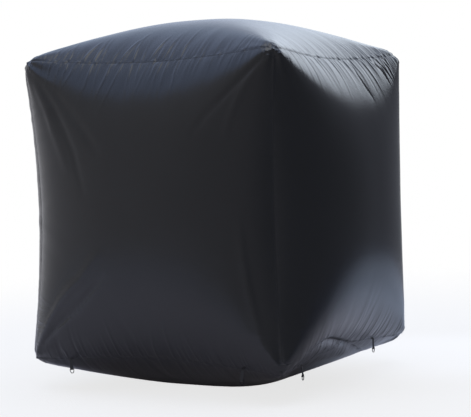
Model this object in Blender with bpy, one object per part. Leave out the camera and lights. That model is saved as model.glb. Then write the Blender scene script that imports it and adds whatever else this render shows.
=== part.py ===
"""Inflatable cube: a sewn skin of six panels blown tight by a closed inner bladder, with D-rings
at the foot to hold it down, and a valve and a bladder zip low on the back.
Metres, +Z up, the front panel faces -Y. The origin is on the floor, under the middle."""

import math

import bmesh
import bpy
from mathutils import Matrix, Vector

for thing in list(bpy.data.objects):
    bpy.data.objects.remove(thing, do_unlink=True)

MM = 0.001
GAP = 0.3 * MM                      # between pieces that touch
X, Y, Z = 0, 1, 2

# Driving dimensions of the envelope
CUT_SIZE = (2.00, 2.00, 2.13)       # flat size of the panels along x, y and z
CORNER_SHARE = 0.9835               # the seams' ends draw in to this share of the flat size
SEAM_DIP = (0.059, 0.059, 0.068)    # how far the middle of a seam along x, y or z is pulled in
WALL_DOME = 0.370                   # how far a panel's middle stands out past its seams
TOP_DOME = 0.376
BASE_DOME = 0.356
DOME_RISE = 2.41                    # how late the dome levels out, away from the seam
DOME_SQUARE = 2.1                   # how square the dome's level lines are
EDGE_CROWD = 4.4                    # how close to the seam the cloth is drawn in
CONTACT_DEPTH = 0.040               # the base dome is pressed flat by this much on the floor
BLUNT_DEPTH = 0.026                 # the stiff corners are this much short of a point
BLUNT_REACH = 0.075
WALL_THICKNESS = 10 * MM
EDGE_LIFT = 0.7                     # share of a normal offset that each axis takes at a seam

# Lines of the panels' grid, as shares of the half side: straight stretches lie between them
STATIONS = (0, 0.2, 0.4, 0.58, 0.78, 0.93, 1)
ZIP_LINES = (-0.705, -0.655)        # heights of the zip tape's edges on the back panel
CORNER_STATION = 0.93               # the corner patches start here
OUTER_CELL, INNER_CELL = (0.58, 0.78), (0.4, 0.58)   # an anchor sits in the middle of such a stretch
ANCHOR_WALLS = (                    # each wall, and the neighbours that its two anchors are near
    ("front", (("left", OUTER_CELL), ("right", OUTER_CELL))),
    ("right", (("front", OUTER_CELL), ("back", INNER_CELL))),
    ("back", (("left", OUTER_CELL), ("right", OUTER_CELL))),
    ("left", (("front", OUTER_CELL), ("back", INNER_CELL))),
)

# Seam binding and corner patches
PANEL_EDGE = 0.9998                 # the panels stop at this share of the half side, short of the seam
SEAM_END = 0.9294                   # the seam binding stops here, short of the corner patches
SEAM_WIDTH_SHARE = 0.005            # on each side of the seam, share of the half side
TRIM_THICKNESS = 2.2 * MM

# Anchors: a webbing loop sewn into the foot seam, and its D-ring
STRAP_WIDTH = 24 * MM
STRAP_THICKNESS = 3.2 * MM          # two layers where it leaves the seam
STRAP_TAIL = 5 * MM                 # straight stretch between the seam and the eye
EYE_RADIUS = 4.7 * MM
EYE_WALL = 1.8 * MM
EYE_SIDES = 12
EYE_OUT = 6 * MM                    # from the seam's binding to the eye's middle
EYE_DOWN = 72 * MM
RING_WIRE = 2.5 * MM                # radius of the steel wire
RING_HALF_WIDTH = 16 * MM
RING_DEPTH = 26 * MM
RING_BEND = 3 * MM
RING_BOW_STEPS = 12

# Valve
FLANGE_RADIUS = 35 * MM
FLANGE_THICKNESS = 2.4 * MM
NECK_RADIUS = 17 * MM
BORE_RADIUS = 12 * MM
NECK_HEIGHT = 14 * MM
CAP_RADIUS = 19 * MM
CAP_THICKNESS = 5 * MM
HINGE_OFFSET = 26 * MM              # from the valve's axis to the cap's hinge pin
PIN_RADIUS = 1.5 * MM
KNUCKLE_RADIUS = 3.2 * MM
KNUCKLE_HALF_LENGTH = 5 * MM
LUG_THICKNESS = 3 * MM
LUG_WIDTH = 6 * MM
LUG_OVER_PIN = 3 * MM               # material over the pin's middle
LUG_PLAY = 0.6 * MM                 # on each side, between a lug and the cap's knuckle
PIN_PLAY = 0.25 * MM                # round the pin, in the knuckle
CAP_CHAMFER = 1 * MM
ARM_LENGTH = 9 * MM                 # the arm between the cap's disc and its knuckle
ARM_THICKNESS = 3 * MM
ARM_MIDDLE = 6.5 * MM               # from the pin to the arm's middle
PIN_SIDES = 12
KNUCKLE_SIDES = 16
VALVE_CELL = ((-0.58, -0.4), (-0.58, -0.4))
TURNED_SIDES = 32

# Zip
ZIP_STATIONS = (-0.58, -0.4, -0.2, 0, 0.2, 0.4, 0.58)
TEETH_LINES = (-0.684, -0.676)
TEETH_END = 0.56                    # the teeth stop here, short of the tape's end
SLIDER_STATION = 0.4
TAPE_THICKNESS = 1.5 * MM
TEETH_SEAT = 1.1 * MM               # teeth over tape: straight facets between the stations need the room
TEETH_THICKNESS = 2.5 * MM
SLIDER_SIZE = (16 * MM, 11 * MM, 5 * MM)
SLIDER_EDGE = 1 * MM
PULLER_SIZE = (8 * MM, 26 * MM, 2 * MM)
PULLER_EDGE = 0.6 * MM
PULLER_OVER = 4 * MM                # how far the puller reaches up over the slider's middle
NEARBY = 0.01                       # share step for the skin's directions at a point

# Panel name: the axis it faces along, and which way
FACES = {"top": (Z, 1), "base": (Z, -1), "front": (Y, -1), "back": (Y, 1), "right": (X, 1), "left": (X, -1)}
DOMES = {"top": TOP_DOME, "base": BASE_DOME}
HALF = [size / 2 for size in CUT_SIZE]
CORNER = [half * CORNER_SHARE for half in HALF]
BASE_REACH = CORNER[Z] - SEAM_DIP[X] - SEAM_DIP[Y] + BASE_DOME - CONTACT_DEPTH
CENTRE_HEIGHT = BASE_REACH          # the box's middle over the floor


def material(name, colour, roughness, metallic=0.0):
    made = bpy.data.materials.new(name)
    made.use_nodes = True
    shader = made.node_tree.nodes["Principled BSDF"]
    shader.inputs["Base Color"].default_value = (*colour, 1)
    shader.inputs["Roughness"].default_value = roughness
    shader.inputs["Metallic"].default_value = metallic
    return made


COATED_CLOTH = material("coated_polyester", (0.014, 0.014, 0.016), 0.42)
WEBBING = material("black_webbing", (0.012, 0.012, 0.013), 0.75)
STEEL = material("black_zinc_plated_steel", (0.05, 0.05, 0.055), 0.35, 1.0)
PLASTIC = material("moulded_valve_plastic", (0.02, 0.02, 0.022), 0.35)
TAPE = material("woven_zip_tape", (0.011, 0.011, 0.012), 0.8)
NYLON = material("nylon_coil", (0.018, 0.018, 0.02), 0.45)


def drawn_in(share, flat, corner, dip):
    """Place across a panel: even over most of it, crowded close to the dipping seam."""
    size = abs(share)
    return math.copysign(flat * size - (flat - corner + dip) * size**EDGE_CROWD, share)


def on_panel(face, s, t, lift=0.0):
    """The point of a panel at shares s and t of its half sides, lifted off the skin's outer side."""
    facing, sign = FACES[face]
    u, v = [axis for axis in (X, Y, Z) if axis != facing]
    across = SEAM_DIP[v] * math.cos(math.pi * t / 2)
    along = SEAM_DIP[u] * math.cos(math.pi * s / 2)
    edge = EDGE_LIFT * lift
    rise_s = max(1 - abs(s) ** DOME_RISE, 1e-6)
    rise_t = max(1 - abs(t) ** DOME_RISE, 1e-6)
    dome = (rise_s**-DOME_SQUARE + rise_t**-DOME_SQUARE - 1) ** (-1 / DOME_SQUARE)
    height = CORNER[facing] + edge - across - along
    height += (DOMES.get(face, WALL_DOME) + lift - edge) * dome
    if face == "base":
        height = min(height, BASE_REACH + lift)
    point = Vector((0, 0, 0))
    point[u] = drawn_in(s, HALF[u] + edge, CORNER[u] + edge, across)
    point[v] = drawn_in(t, HALF[v] + edge, CORNER[v] + edge, along)
    point[facing] = sign * height
    tip = Vector([math.copysign(size, place) for size, place in zip(CORNER, point)])
    nearness = ((point - tip).length / BLUNT_REACH) ** 2
    point -= point.normalized() * BLUNT_DEPTH * math.exp(-nearness)
    return point + Vector((0, 0, CENTRE_HEIGHT))


def finish(name, bm, slot, matrix=None):
    bmesh.ops.recalc_face_normals(bm, faces=bm.faces)
    mesh = bpy.data.meshes.new(name)
    bm.to_mesh(mesh)
    bm.free()
    made = bpy.data.objects.new(name, mesh)
    made.data.materials.append(slot)
    bpy.context.collection.objects.link(made)
    if matrix is not None:
        made.matrix_world = matrix
    return made


def shell(name, patches, low, high, slot):
    """A closed sheet over patches of the skin, between two lifts. A patch is (face, s lines, t lines)."""
    bm = bmesh.new()
    under = bm.verts.layers.float_vector.new("under")
    for face, s_lines, t_lines in patches:
        rows = []
        for s in s_lines:
            row = [bm.verts.new(on_panel(face, s, t, high)) for t in t_lines]
            for vert, t in zip(row, t_lines):
                vert[under] = on_panel(face, s, t, low)
            rows.append(row)
        for i in range(len(s_lines) - 1):
            for j in range(len(t_lines) - 1):
                a, b, c, d = rows[i][j], rows[i + 1][j], rows[i + 1][j + 1], rows[i][j + 1]
                # The fold of each cell runs outwards to its corner of the panel
                outwards = (s_lines[i] + s_lines[i + 1]) * (t_lines[j] + t_lines[j + 1]) > 0
                for corners in ((a, b, c), (a, c, d)) if outwards else ((a, b, d), (b, c, d)):
                    bm.faces.new(corners)
    bmesh.ops.remove_doubles(bm, verts=bm.verts, dist=0.01 * MM)
    bmesh.ops.recalc_face_normals(bm, faces=bm.faces)
    copied = bmesh.ops.extrude_face_region(bm, geom=bm.faces[:])["geom"]
    for vert in (item for item in copied if isinstance(item, bmesh.types.BMVert)):
        vert.co = vert[under]
    return finish(name, bm, slot)


def mirrored(stations):
    return sorted({-place for place in stations} | set(stations))


def lines_along(axis):
    """The grid lines across a panel in one direction. The upright ones also take the zip's edges."""
    extra = ZIP_LINES if axis == Z else ()
    return sorted(set(mirrored(STATIONS)) | set(extra))


def build_panels():
    for face, (facing, _) in FACES.items():
        u, v = [axis for axis in (X, Y, Z) if axis != facing]
        s_lines = [max(-PANEL_EDGE, min(PANEL_EDGE, place)) for place in lines_along(u)]
        t_lines = [max(-PANEL_EDGE, min(PANEL_EDGE, place)) for place in lines_along(v)]
        shell(f"{face}_panel", [(face, s_lines, t_lines)], -WALL_THICKNESS, 0, COATED_CLOTH)


def seam_patch(face, other, run):
    """The narrow strip of one panel beside its seam with another."""
    facing, _ = FACES[face]
    u, _ = [axis for axis in (X, Y, Z) if axis != facing]
    side = FACES[other][1]
    band = sorted((side, side * (1 - SEAM_WIDTH_SHARE)))
    return (face, run, band) if FACES[other][0] != u else (face, band, run)


def build_seams():
    names = list(FACES)
    for i, first in enumerate(names):
        for second in names[i + 1:]:
            if FACES[first][0] == FACES[second][0]:
                continue
            axis = ({X, Y, Z} - {FACES[first][0], FACES[second][0]}).pop()
            run = [-SEAM_END] + [p for p in lines_along(axis) if abs(p) < CORNER_STATION] + [SEAM_END]
            patches = [seam_patch(first, second, run), seam_patch(second, first, run)]
            shell(f"{first}_{second}_seam", patches, GAP, TRIM_THICKNESS, COATED_CLOTH)


def build_corners():
    for top, front, right in ((a, b, c) for a in (1, -1) for b in (-1, 1) for c in (1, -1)):
        side = {Z: top, Y: front, X: right}
        touching = [face for face, (facing, sign) in FACES.items() if side[facing] == sign]
        patches = []
        for face in touching:
            u, v = [axis for axis in (X, Y, Z) if axis != FACES[face][0]]
            band = [sorted((side[axis] * CORNER_STATION, side[axis])) for axis in (u, v)]
            patches.append((face, *band))
        shell("_".join(touching) + "_corner", patches, GAP, TRIM_THICKNESS, WEBBING)


def placed(origin, along, out, up):
    """The matrix that puts local x, y and z along these three directions."""
    return Matrix.Translation(origin) @ Matrix((along, out, up)).transposed().to_4x4()


def anchor_seats():
    """For each anchor, its name and the frame at the foot seam: x along the seam, y out of the wall, z up."""
    for wall, neighbours in ANCHOR_WALLS:
        facing, sign = FACES[wall]
        for neighbour, cell in neighbours:
            side = FACES[neighbour][1]
            first, last = [on_panel(wall, side * share, -1, TRIM_THICKNESS) for share in cell]
            outwards = Vector([sign if axis == facing else 0 for axis in (X, Y, Z)])
            along = (last - first).normalized()
            along *= math.copysign(1, along.dot(outwards.cross(Vector((0, 0, 1)))))
            out = (outwards - along * outwards.dot(along)).normalized()
            yield f"{wall}_{neighbour}", placed((first + last) / 2, along, out, along.cross(out))


def build_loop(name, matrix):
    """A strap's end that leaves the seam sloping down, and turns round into an eye for the ring."""
    bm = bmesh.new()
    eye = Vector((0, EYE_OUT, -EYE_DOWN))
    step = 2 * math.pi / EYE_SIDES
    rims = []
    for radius in (EYE_RADIUS, EYE_RADIUS + EYE_WALL):
        turns = [step * (i + 0.5) for i in range(EYE_SIDES)]
        rims.append([bm.verts.new(eye + radius * Vector((0, math.sin(a), math.cos(a)))) for a in turns])
    for i in range(EYE_SIDES):
        j = (i + 1) % EYE_SIDES
        bm.faces.new((rims[0][i], rims[0][j], rims[1][j], rims[1][i]))
    half = STRAP_THICKNESS / 2
    slope = Vector((0, 1, -1)).normalized()
    square = Vector((0, 1, 1)).normalized()
    seat = slope * GAP
    bend = slope * STRAP_TAIL
    tail = [rims[1][0], rims[1][-1]]   # the eye's top edge
    for middle in (bend, seat):
        new = [bm.verts.new(middle + square * half), bm.verts.new(middle - square * half)]
        bm.faces.new((tail[0], tail[1], new[1], new[0]))
        tail = new
    faces = bm.faces[:]
    bmesh.ops.translate(bm, verts=bm.verts, vec=(-STRAP_WIDTH / 2, 0, 0))
    moved = bmesh.ops.extrude_face_region(bm, geom=faces)["geom"]
    bmesh.ops.translate(
        bm, verts=[item for item in moved if isinstance(item, bmesh.types.BMVert)], vec=(STRAP_WIDTH, 0, 0))
    return finish(name, bm, WEBBING, matrix)


def ring_path():
    """The D: a straight bar at the top, two tight bends and an elliptical bow below."""
    points = []
    for i in range(1, RING_BOW_STEPS):
        turn = math.pi * i / RING_BOW_STEPS
        points.append((RING_HALF_WIDTH * math.cos(turn), -RING_DEPTH * math.sin(turn)))
    straight = RING_HALF_WIDTH - RING_BEND
    corner = RING_BEND * (1 - math.sqrt(0.5))
    left = [(-RING_HALF_WIDTH, -RING_BEND), (-RING_HALF_WIDTH + corner, -corner), (-straight, 0)]
    right = [(-x, z) for x, z in reversed(left)]
    return left + right + points


def build_ring(name, matrix):
    curve = bpy.data.curves.new(name, "CURVE")
    curve.dimensions = "3D"
    curve.bevel_depth = RING_WIRE
    curve.bevel_resolution = 2
    spline = curve.splines.new("POLY")
    path = ring_path()
    spline.points.add(len(path) - 1)
    for point, (x, z) in zip(spline.points, path):
        point.co = (x, 0, z, 1)
    spline.use_cyclic_u = True
    made = bpy.data.objects.new(name, curve)
    made.data.materials.append(STEEL)
    bpy.context.collection.objects.link(made)
    pivot = bpy.data.objects.new(name + "_pivot", None)
    bpy.context.collection.objects.link(pivot)
    pivot.matrix_world = matrix
    made.parent = pivot


def build_anchors():
    eye_flat = EYE_RADIUS * math.cos(math.pi / EYE_SIDES)
    hang = eye_flat - RING_WIRE - GAP
    for name, seat in anchor_seats():
        build_loop(f"tie_loop_{name}", seat)
        bar = Vector((0, EYE_OUT, -EYE_DOWN - hang))
        build_ring(f"d_ring_{name}", seat @ Matrix.Translation(bar))


def turned(bm, outline, sides=TURNED_SIDES):
    """A solid of revolution about z, from (radius, height) points that start and end on the axis."""
    verts = [bm.verts.new((r, 0, z)) for r, z in outline]
    edges = [bm.edges.new(pair) for pair in zip(verts, verts[1:])]
    bmesh.ops.spin(bm, geom=verts + edges, cent=(0, 0, 0), axis=(0, 0, 1), angle=2 * math.pi,
                   steps=sides, use_merge=True, use_duplicate=False)
    bmesh.ops.remove_doubles(bm, verts=bm.verts, dist=0.01 * MM)


def block(bm, size, middle):
    made = bmesh.ops.create_cube(bm, size=1)["verts"]
    bmesh.ops.scale(bm, verts=made, vec=size)
    bmesh.ops.translate(bm, verts=made, vec=middle)


def cylinder_x(bm, radius, half_length, middle, sides=PIN_SIDES):
    turn = Matrix.Rotation(math.pi / 2, 4, "Y")
    bmesh.ops.create_cone(bm, cap_ends=True, segments=sides, radius1=radius, radius2=radius,
                          depth=2 * half_length, matrix=Matrix.Translation(middle) @ turn)


def joined(name, makers, slot, matrix):
    """One solid from several shapes, each made into a mesh of its own and joined by a Boolean union."""
    pieces = []
    for i, maker in enumerate(makers):
        bm = bmesh.new()
        maker(bm)
        pieces.append(finish(name if i == 0 else f"{name}_add_{i}", bm, slot, matrix))
    for extra in pieces[1:]:
        extra.hide_render = True
        extra.display_type = "WIRE"
        join = pieces[0].modifiers.new(extra.name, "BOOLEAN")
        join.operation = "UNION"
        join.object = extra
    return pieces[0]


def valve_matrix():
    """The valve lies on one flat facet of the back panel, at the middle of the facet's inner circle."""
    (s0, s1), (t0, t1) = VALVE_CELL
    a, b, c = [on_panel("back", s, t) for s, t in ((s0, t0), (s1, t1), (s0, t1))]
    sides = [(b - c).length, (c - a).length, (a - b).length]
    middle = (a * sides[0] + b * sides[1] + c * sides[2]) / sum(sides)
    normal = (b - a).cross(c - a).normalized()
    normal *= 1 if normal.y > 0 else -1
    sideways = Vector((0, 0, 1)).cross(normal).normalized()
    return placed(middle, sideways, normal.cross(sideways), normal)


def build_valve():
    seat = valve_matrix()
    bottom = GAP
    top = bottom + NECK_HEIGHT
    rim = bottom + FLANGE_THICKNESS
    pin_height = top + GAP + CAP_THICKNESS / 2
    lug_middle = KNUCKLE_HALF_LENGTH + LUG_PLAY + LUG_THICKNESS / 2
    lug_height = pin_height + LUG_OVER_PIN - bottom

    def body(bm):
        turned(bm, [(0, bottom), (FLANGE_RADIUS, bottom), (FLANGE_RADIUS, rim), (NECK_RADIUS, rim),
                    (NECK_RADIUS, top), (BORE_RADIUS, top), (BORE_RADIUS, rim), (0, rim)])

    def lug(side):
        return lambda bm: block(bm, (LUG_THICKNESS, LUG_WIDTH, lug_height),
                                (side * lug_middle, HINGE_OFFSET, bottom + lug_height / 2))

    def pin(bm):
        cylinder_x(bm, PIN_RADIUS, lug_middle, Vector((0, HINGE_OFFSET, pin_height)))

    joined("valve_body", [body, lug(-1), lug(1), pin], PLASTIC, seat)

    pivot = bpy.data.objects.new("valve_cap_pivot", None)
    bpy.context.collection.objects.link(pivot)
    pivot.matrix_world = seat @ Matrix.Translation((0, HINGE_OFFSET, pin_height))

    def disc(bm):
        low, high = -CAP_THICKNESS / 2, CAP_THICKNESS / 2
        inner = CAP_RADIUS - CAP_CHAMFER
        turned(bm, [(0, low), (inner, low), (CAP_RADIUS, low + CAP_CHAMFER),
                    (CAP_RADIUS, high - CAP_CHAMFER), (inner, high), (0, high)])
        bmesh.ops.translate(bm, verts=bm.verts, vec=(0, -HINGE_OFFSET, 0))

    def arm(bm):
        block(bm, (2 * KNUCKLE_HALF_LENGTH, ARM_LENGTH, ARM_THICKNESS), (0, -ARM_MIDDLE, 0))

    def knuckle(bm):
        cylinder_x(bm, KNUCKLE_RADIUS, KNUCKLE_HALF_LENGTH, Vector((0, 0, 0)), KNUCKLE_SIDES)

    cap = joined("valve_cap", [disc, arm, knuckle], PLASTIC, pivot.matrix_world)
    bm = bmesh.new()
    cylinder_x(bm, PIN_RADIUS + PIN_PLAY, 2 * KNUCKLE_HALF_LENGTH, Vector((0, 0, 0)))
    hole = finish("valve_cap_hole", bm, PLASTIC, pivot.matrix_world)
    hole.hide_render = True
    hole.display_type = "WIRE"
    cut = cap.modifiers.new("pin_hole", "BOOLEAN")
    cut.operation = "DIFFERENCE"
    cut.object = hole


def build_zip():
    tape_top = GAP + TAPE_THICKNESS
    teeth_low = tape_top + TEETH_SEAT
    teeth_top = teeth_low + TEETH_THICKNESS
    shell("zip_tape", [("back", ZIP_STATIONS, ZIP_LINES)], GAP, tape_top, TAPE)
    shell("zip_teeth", [("back", ZIP_STATIONS[:-1] + (TEETH_END,), TEETH_LINES)], teeth_low, teeth_top, NYLON)
    s, t = SLIDER_STATION, sum(TEETH_LINES) / 2
    point = on_panel("back", s, t, teeth_top)
    along = on_panel("back", s + NEARBY, t) - on_panel("back", s - NEARBY, t)
    upwards = on_panel("back", s, t + NEARBY) - on_panel("back", s, t - NEARBY)
    normal = upwards.cross(along).normalized()
    normal *= 1 if normal.y > 0 else -1
    along = along.normalized()
    seat = placed(point, along, normal.cross(along), normal)
    bm = bmesh.new()
    block(bm, SLIDER_SIZE, (0, 0, GAP + SLIDER_SIZE[2] / 2))
    slider = finish("zip_slider", bm, STEEL, seat)
    soften(slider, SLIDER_EDGE)
    puller_low = 2 * GAP + SLIDER_SIZE[2]
    bm = bmesh.new()
    downwards = -math.copysign(1, seat[2][1])
    hang = PULLER_SIZE[1] / 2 - PULLER_OVER
    block(bm, PULLER_SIZE, (0, downwards * hang, puller_low + PULLER_SIZE[2] / 2))
    soften(finish("zip_puller", bm, STEEL, seat), PULLER_EDGE)


def soften(made, width):
    bevel = made.modifiers.new("soft_edges", "BEVEL")
    bevel.width = width
    bevel.segments = 1


build_panels()
build_seams()
build_corners()
build_anchors()
build_valve()
build_zip()
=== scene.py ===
# Looks of the inflatable cube: glossy black coated polyester, blown tight and puckered along its seams.
# Metres, +Z up, the front panel faces -Y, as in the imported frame.
import itertools
import math

import bmesh
import bpy
import numpy as np
from mathutils import Matrix, Vector


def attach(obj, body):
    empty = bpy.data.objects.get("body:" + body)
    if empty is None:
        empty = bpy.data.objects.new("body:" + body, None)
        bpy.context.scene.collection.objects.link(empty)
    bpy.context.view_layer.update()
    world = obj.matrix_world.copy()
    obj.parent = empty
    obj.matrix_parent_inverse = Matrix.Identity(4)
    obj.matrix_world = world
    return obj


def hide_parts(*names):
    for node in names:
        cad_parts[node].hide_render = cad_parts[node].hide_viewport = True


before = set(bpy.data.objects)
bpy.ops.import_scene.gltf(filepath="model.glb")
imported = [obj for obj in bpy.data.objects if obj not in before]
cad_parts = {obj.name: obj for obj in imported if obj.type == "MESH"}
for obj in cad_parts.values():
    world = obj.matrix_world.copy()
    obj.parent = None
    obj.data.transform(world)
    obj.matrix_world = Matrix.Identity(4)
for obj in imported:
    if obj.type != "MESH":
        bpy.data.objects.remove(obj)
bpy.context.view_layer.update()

mm = 0.001
weldGap = 0.004 * mm                    # points closer than this are merged
scene = bpy.context.scene


def linear(code):
    # sRGB hex to linear light: x / 12.92 up to 0.04045, otherwise ((x + 0.055) / 1.055) ^ 2.4
    parts = np.array([int(code[i:i + 2], 16) for i in (1, 3, 5)]) / 255
    return (*np.where(parts <= 0.04045, parts / 12.92, ((parts + 0.055) / 1.055) ** 2.4).tolist(), 1.0)


def feed(tree, node, inputs):
    # each socket gets its value, or a link from an output or from another node's first output in use
    for socket, value in inputs.items():
        if isinstance(value, bpy.types.Node):
            value = next(output for output in value.outputs if output.enabled)
        if isinstance(value, bpy.types.NodeSocket):
            tree.links.new(value, node.inputs[socket])
        else:
            node.inputs[socket].default_value = value


def addNode(tree, kind, inputs=None, **settings):
    # one node with its settings, values and links
    made = tree.nodes.new("ShaderNode" + kind)
    for name, value in settings.items():
        setattr(made, name, value)
    feed(tree, made, inputs or {})
    return made


def newMaterial(name, **fixed):
    # a material with its Principled shader, whose fixed values go straight on the sockets
    made = bpy.data.materials.new(name)
    made.use_nodes = True
    shader = made.node_tree.nodes["Principled BSDF"]
    feed(made.node_tree, shader, fixed)
    return made, made.node_tree, shader


def layered(tree, colour, layers):
    # colours laid over one another: each fades in smoothly while its value goes from one end to the other
    for value, start, end, other in layers:
        share = addNode(tree, "MapRange", {"Value": value, "From Min": start, "From Max": end},
                        interpolation_type="SMOOTHSTEP")
        colour = addNode(tree, "Mix", {"Factor": share, "A": colour, "B": other}, data_type="RGBA")
    return colour


def smooth(low, high, value):
    # 0 below low, 1 above high, 3x^2 - 2x^3 between
    x = np.clip((value - low) / (high - low), 0, 1)
    return x * x * (3 - 2 * x)


def unit(vectors):
    return vectors / np.linalg.norm(vectors, axis=-1, keepdims=True)


def stacked(*parts):
    # coordinates side by side on a new last axis, each spread to the shape of all
    return np.stack(np.broadcast_arrays(*parts), -1)


def gridFaces(rows, columns, closedRows=False, closedColumns=False, first=0):
    # four corners of each cell of a grid of points, numbered row by row
    i = np.arange(rows if closedRows else rows - 1)[:, None]
    j = np.arange(columns if closedColumns else columns - 1)[None, :]
    a, b = i % rows * columns, (i + 1) % rows * columns
    c, d = j % columns, (j + 1) % columns
    return first + stacked(a + c, b + c, b + d, a + d).reshape(-1, 4)


def newPiece(name, points, cells, material, body, slotName, uv=None, marks=None, weld=False):
    # a mesh object from whole arrays. cells is one array of faces or several of different sizes; uv and marks
    # are given per point; weld merges the points that meet at seams and poles
    mesh = bpy.data.meshes.new(name)
    points = np.asarray(points, np.float32).reshape(-1, 3)
    cells = [part for part in (cells if isinstance(cells, list) else [cells]) if len(part)]
    corners = np.concatenate([part.ravel() for part in cells])
    sizes = np.concatenate([np.full(len(part), part.shape[1]) for part in cells])
    mesh.vertices.add(len(points))
    mesh.vertices.foreach_set("co", points.ravel())
    mesh.loops.add(len(corners))
    mesh.loops.foreach_set("vertex_index", corners.astype(np.int32))
    mesh.polygons.add(len(sizes))
    mesh.polygons.foreach_set("loop_start", (np.cumsum(sizes) - sizes).astype(np.int32))
    mesh.update(calc_edges=True)
    if uv is not None:
        spots = np.asarray(uv, np.float32).reshape(-1, 2)[corners]
        mesh.uv_layers.new(name="cloth").data.foreach_set("uv", spots.ravel())
    for markName, values in (marks or {}).items():
        layer = mesh.attributes.new(markName, "FLOAT", "POINT")
        layer.data.foreach_set("value", np.asarray(values, np.float32))
    if weld:
        welded = bmesh.new()
        welded.from_mesh(mesh)
        bmesh.ops.remove_doubles(welded, verts=welded.verts, dist=weldGap)
        bmesh.ops.recalc_face_normals(welded, faces=welded.faces)
        welded.to_mesh(mesh)
        welded.free()
    mesh.validate()
    mesh.polygons.foreach_set("use_smooth", np.full(len(mesh.polygons), True))
    made = bpy.data.objects.new(name, mesh)
    scene.collection.objects.link(made)
    mesh.materials.append(material)
    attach(made, body)
    return made


def joined(parts):
    # several (points, cells) as one list of points and one of cells
    counts = np.cumsum([0] + [len(points) for points, cells in parts])
    return (np.concatenate([points for points, cells in parts]),
            np.concatenate([cells + first for (points, cells), first in zip(parts, counts)]))


def joinedGrids(grids, closedColumns=True):
    # several grids of points as one list of points and one of cells
    return joined([(grid.reshape(-1, 3), gridFaces(*grid.shape[:2], closedColumns=closedColumns))
                   for grid in grids])


# Camera: fitted to the outline of the cube in the photo
photoCamera = {
    "lens": 113.96,            # mm on a 36 mm wide sensor
    "azimuth": 29.943, "elevation": 2.909, "roll": -1.687,   # degrees
    "distance": 10.726, "aim": (0, 0, 1.24543),
    "shift": (0.0306, -0.01236),
}


def makeCamera():
    # back points from the aim to the lens; right and up are turned by the roll
    azimuth, elevation, roll = (math.radians(photoCamera[key]) for key in ("azimuth", "elevation", "roll"))
    back = Vector((math.sin(azimuth) * math.cos(elevation), -math.cos(azimuth) * math.cos(elevation),
                   math.sin(elevation)))
    right = Vector((math.cos(azimuth), math.sin(azimuth), 0))
    up = back.cross(right)
    turned = (math.cos(roll) * right + math.sin(roll) * up,
              math.cos(roll) * up - math.sin(roll) * right, back)
    data = bpy.data.cameras.new("photoCamera")
    data.lens, data.sensor_width = photoCamera["lens"], 36
    data.shift_x, data.shift_y = photoCamera["shift"]
    data.clip_end = 200
    camera = bpy.data.objects.new("photoCamera", data)
    place = Vector(photoCamera["aim"]) + back * photoCamera["distance"]
    camera.matrix_world = Matrix.Translation(place) @ Matrix(turned).transposed().to_4x4()
    scene.collection.objects.link(camera)
    scene.camera = camera


# Light: what the glossy cloth reflects, given by direction
studio = {
    # by azimuth, where 0 is +Y and 90 is +X: elevation of the ceiling's edge, radiance of the wall below it
    "edge": ((-180, 60), (-152, 58), (-143, 43), (-120, 43), (-104, 35), (-89, 27), (-70, 25), (-58, 22),
             (-50, 9), (-26, 7), (-20, 11), (-14, 15), (17.5, 16), (20, 37), (30, 54), (180, 60)),
    "edgeBlur": 1.8,
    "wall": ((-180, (0.40, 0.40, 0.43)), (-150, (0.475, 0.475, 0.51)), (-125, (0.54, 0.54, 0.575)),
             (-95, (0.48, 0.48, 0.52)), (-70, (0.49, 0.49, 0.52)), (-53, (0.52, 0.52, 0.56)),
             (-42, (0.82, 0.84, 0.87)), (-21, (0.84, 0.86, 0.89)), (-16, (0.70, 0.72, 0.76)),
             (-10, (0.22, 0.23, 0.26)), (-4, (0.18, 0.19, 0.22)), (20, (0.18, 0.19, 0.23)),
             (40, (0.18, 0.19, 0.22)), (112, (0.21, 0.22, 0.25)), (142, (0.36, 0.36, 0.39)),
             (180, (0.40, 0.40, 0.43))),
    "lowCeiling": ((-180, (0.64, 0.80, 1.20)), (-60, (0.64, 0.80, 1.20)), (-44, (0.60, 0.75, 1.02)),
                   (-32, (0.80, 0.91, 1.15)), (-16, (1.65, 1.84, 2.1)), (0, (2.0, 2.2, 2.49)),
                   (19, (1.95, 2.15, 2.42)), (24, (0.7, 0.8, 1.0)), (180, (0.64, 0.80, 1.20))),
    "highCeiling": ((-180, (0.71, 0.86, 1.25)), (-60, (0.71, 0.86, 1.25)), (-35, (0.7, 0.85, 1.16)),
                    (-14, (0.6, 0.7, 0.92)), (14, (0.6, 0.7, 0.92)), (40, (0.71, 0.86, 1.25)),
                    (180, (0.71, 0.86, 1.25))),
    "highFade": (29, 36),                           # elevations between which the high ceiling comes in
    "overhead": (2.05, 2.12, 2.25), "overheadFade": (64, 76),       # neutral straight up
    "full": 2.5,                        # the strongest radiance, which the ramps' colours are shares of
}


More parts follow.
